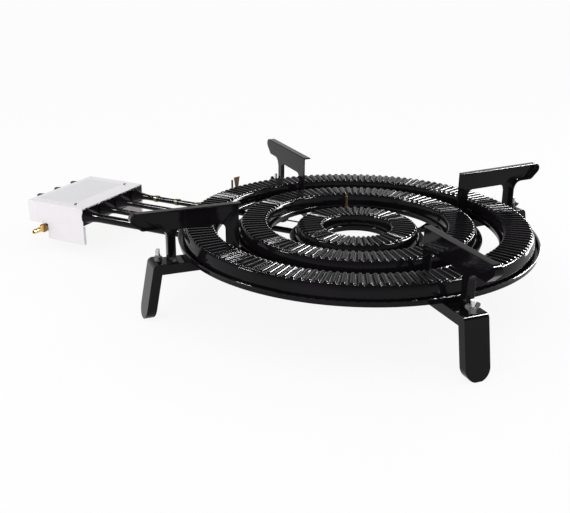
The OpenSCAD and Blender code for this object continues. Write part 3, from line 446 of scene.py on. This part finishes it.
def ring_cover(node, inner, ribs):
    """A pressed cover with rounded radial ribs, grooves between them and a row of ports in each groove."""
    low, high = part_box(node)
    outer = (high.x - low.x) / 2 - SKIRT_OUT
    sector = rib_sector(cover_section(inner, outer, high.z, low.z), ribs)
    bm = bmesh.new()
    for i in range(ribs):
        copy = bpy.data.meshes.new("sector")
        sector.to_mesh(copy)
        copy.transform(Matrix.Translation(AXIS) @ Matrix.Rotation(2 * math.pi * i / ribs, 4, "Z"))
        bm.from_mesh(copy)
        bpy.data.meshes.remove(copy)
    sector.free()
    bmesh.ops.remove_doubles(bm, verts=bm.verts, dist=SECTOR_MERGE)
    finish_piece(node + "_pressed", bm, [ENAMEL, GROOVE_SHADE], "burner", "black_enamel", node, smooth=COVER_SMOOTH)


# Copies of CAD nodes with rounded bends or edges

def cad_copy(node):
    """The CAD node's mesh, with its loose triangles joined into whole faces."""
    bm = bmesh.new()
    bm.from_mesh(NODES[node].data)
    bmesh.ops.remove_doubles(bm, verts=bm.verts, dist=CAD_MERGE)
    bmesh.ops.dissolve_limit(bm, angle_limit=math.radians(FLAT_ANGLE), verts=bm.verts, edges=bm.edges)
    return bm


def split_hollow_faces(bm):
    """Splits flat faces where their outline is hollow, so that none is shown filled in."""
    bmesh.ops.connect_verts_concave(bm, faces=bm.faces[:])


def show_copy(node, bm, material, slot, body="burner"):
    piece = finish_piece(node + "_shape", bm, [material], body, slot, node, smooth=SHEET_SMOOTH)
    # Flat walls keep a flat gloss beside their rounded bends
    flat = piece.modifiers.new("flat_gloss", "WEIGHTED_NORMAL")
    flat.mode = "FACE_AREA"
    flat.keep_sharp = True


def is_bend(edge, least):
    """True where two walls of a sheet meet, both deeper than the sheet's own thickness."""
    if edge.calc_length() < least:
        return False
    start = edge.verts[0].co
    along = (edge.verts[1].co - start).normalized()
    for face in edge.link_faces:
        if max((v.co - start).cross(along).length for v in face.verts) < BEND_DEPTH:
            return False
    return edge.is_convex


def bent_sheet(node, radius, material, slot, least=0.0):
    """Shows a CAD node with the outer bends of its sheet rounded."""
    bm = cad_copy(node)
    bends = [e for e in sharp_edges(bm, BEND_ANGLE) if is_bend(e, least)]
    split_hollow_faces(bm)
    round_edges(bm, bends, radius, BEND_STEPS)
    show_copy(node, bm, material, slot)


def soft_edged(node, radius, material, slot, body):
    """Shows a CAD node with all its sharp edges rounded."""
    bm = cad_copy(node)
    split_hollow_faces(bm)
    round_edges(bm, sharp_edges(bm, EDGE_ANGLE), radius, EDGE_STEPS)
    show_copy(node, bm, material, slot, body)


# Blank label on the control box

def blank_label():
    low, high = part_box("box_cover")
    size = Vector((high.x - low.x - LABEL_LESS_DEEP, high.y - low.y - LABEL_LESS_WIDE, LABEL_SHEET))
    centre = Vector(((low.x + high.x) / 2 - LABEL_SHIFT, (low.y + high.y) / 2,
                     high.z - size.z * LABEL_SUNK))
    bm = bmesh.new()
    bmesh.ops.create_cube(bm, size=1.0, matrix=Matrix.Translation(centre) @ Matrix.Diagonal((*size, 1.0)))
    upright = [e for e in bm.edges if abs(e.verts[0].co.z - e.verts[1].co.z) > size.z / 2]
    bmesh.ops.bevel(bm, geom=upright, offset=LABEL_CORNER, offset_type="OFFSET", segments=LABEL_STEPS,
                    profile=0.5, affect="EDGES", material=-1)
    finish_piece("blank_label", bm, [FILM], "burner", "white_enamel", smooth=LABEL_SMOOTH)


for name, (inner, ribs) in RINGS.items():
    ring_cover(name, inner, ribs)
for corner in CORNERS:
    bent_sheet("support_" + corner, SUPPORT_BEND, ENAMEL, "black_enamel", least=SUPPORT_LEAST)
    bent_sheet("arm_" + corner, ARM_BEND, ENAMEL, "black_enamel")
    bent_sheet("leg_" + corner, LEG_BEND, ENAMEL, "black_enamel")
    soft_edged("wing_nut_" + corner, NUT_EDGE, SHADED_ZINC, "zinc", "nut_" + corner)
for valve in VALVES:
    soft_edged("knob_" + valve, KNOB_EDGE, PLASTIC, "black_plastic", "tap_" + valve)
bent_sheet("box_cover", BOX_BEND, WHITE, "white_enamel")
bent_sheet("control_frame", FRAME_BEND, ENAMEL, "black_enamel")
blank_label()

for material, *names in BARE_NODES:
    for name in names:
        node = NODES[name]
        node.data.materials.clear()
        node.data.materials.append(material)


# Stage: pale floor, soft world, lamps and camera

def seen_rays(tree):
    """1 for rays that show the floor or the world by sight, in a gloss or through glass."""
    light_path = tree.nodes.new("ShaderNodeLightPath").outputs
    seen = math_node(tree, "MAXIMUM", light_path["Is Camera Ray"], light_path["Is Glossy Ray"])
    return math_node(tree, "MAXIMUM", seen, light_path["Is Transmission Ray"])


def pale_floor():
    bm = bmesh.new()
    bmesh.ops.create_grid(bm, x_segments=1, y_segments=1, size=FLOOR_SIZE)
    mesh = bpy.data.meshes.new("floor")
    bm.to_mesh(mesh)
    bm.free()
    material = bpy.data.materials.new("floor_paper")
    material.use_nodes = True
    tree = material.node_tree
    shader = tree.nodes["Principled BSDF"]
    shader.inputs["Base Color"].default_value = (FLOOR_GREY, FLOOR_GREY, FLOOR_GREY, 1.0)
    shader.inputs["Roughness"].default_value = FLOOR_ROUGH
    shader.inputs["Specular IOR Level"].default_value = FLOOR_SPECULAR
    glow = tree.nodes.new("ShaderNodeEmission")
    glow.inputs["Strength"].default_value = 1.0
    blend = tree.nodes.new("ShaderNodeMixShader")
    tree.links.new(math_node(tree, "MULTIPLY", seen_rays(tree), FLOOR_WHITE), blend.inputs["Fac"])
    tree.links.new(shader.outputs["BSDF"], blend.inputs[1])
    tree.links.new(glow.outputs["Emission"], blend.inputs[2])
    tree.links.new(blend.outputs["Shader"], tree.nodes["Material Output"].inputs["Surface"])
    mesh.materials.append(material)
    floor = bpy.data.objects.new("floor", mesh)
    bpy.context.scene.collection.objects.link(floor)


def soft_world():
    """A white backdrop and a dim ceiling to sight and gloss, and an even soft light to the rest."""
    world = bpy.data.worlds.new("studio")
    bpy.context.scene.world = world
    world.use_nodes = True
    tree = world.node_tree
    up = tree.nodes.new("ShaderNodeSeparateXYZ")
    tree.links.new(tree.nodes.new("ShaderNodeTexCoord").outputs["Generated"], up.inputs["Vector"])
    backdrop = map_range(tree, up.outputs["Z"], BACKDROP_TOP, CEILING_EDGE, 1.0, CEILING, "SMOOTHSTEP")
    strength = map_range(tree, seen_rays(tree), 0.0, 1.0, WORLD_LIGHT, backdrop)
    background = tree.nodes["Background"]
    background.inputs["Color"].default_value = (1.0, 1.0, 1.0, 1.0)
    tree.links.new(strength, background.inputs["Strength"])


def white_pieces():
    """The white pieces, which the gloss lamps leave out: a lamp's mirror image would clip there."""
    whites = bpy.data.collections.new("white_pieces")
    for name in ("box_cover_shape", "blank_label"):
        whites.objects.link(bpy.data.objects[name])
    for member in whites.collection_objects:
        member.light_linking.link_state = "EXCLUDE"
    return whites


def soft_lamp(name, turn, distance, height, size, power, whites):
    data = bpy.data.lights.new(name, "AREA")
    data.shape = "RECTANGLE"
    data.size, data.size_y = size
    data.energy = power
    lamp = bpy.data.objects.new(name, data)
    place = AXIS + Matrix.Rotation(math.radians(turn), 3, "Z") @ Vector((distance, 0, height))
    aim = AXIS + Vector((0, 0, LAMP_AIM))
    lamp.location = place
    lamp.rotation_euler = (aim - place).to_track_quat("-Z", "Y").to_euler()
    lamp.visible_camera = False
    lamp.visible_glossy = name != FILL_LAMP
    lamp.visible_diffuse = name == FILL_LAMP
    if name != FILL_LAMP:
        lamp.light_linking.receiver_collection = whites
    bpy.context.scene.collection.objects.link(lamp)


def photo_camera():
    data = bpy.data.cameras.new("photo_camera")
    data.sensor_fit = "HORIZONTAL"
    data.sensor_width = SENSOR_WIDTH
    data.lens = FOCAL_PIXELS * SENSOR_WIDTH / PHOTO_SIZE[0]
    data.clip_end = CAMERA_REACH
    camera = bpy.data.objects.new("photo_camera", data)
    yaw, pitch, roll = (math.radians(a) for a in (CAMERA_YAW, CAMERA_PITCH, CAMERA_ROLL))
    forward = Vector((math.cos(yaw) * math.cos(pitch), math.sin(yaw) * math.cos(pitch), math.sin(pitch)))
    right = forward.cross(Vector((0, 0, 1))).normalized()
    up = right.cross(forward)
    side = math.cos(roll) * right + math.sin(roll) * up
    top = math.cos(roll) * up - math.sin(roll) * right
    turn = Matrix((side, top, -forward)).transposed()
    camera.matrix_world = Matrix.Translation(CAMERA_PLACE + AXIS) @ turn.to_4x4()
    bpy.context.scene.collection.objects.link(camera)
    bpy.context.scene.camera = camera


pale_floor()
soft_world()
spared = white_pieces()
for lamp in LAMPS:
    soft_lamp(*lamp, spared)
photo_camera()
bpy.context.scene.view_settings.view_transform = "Standard"
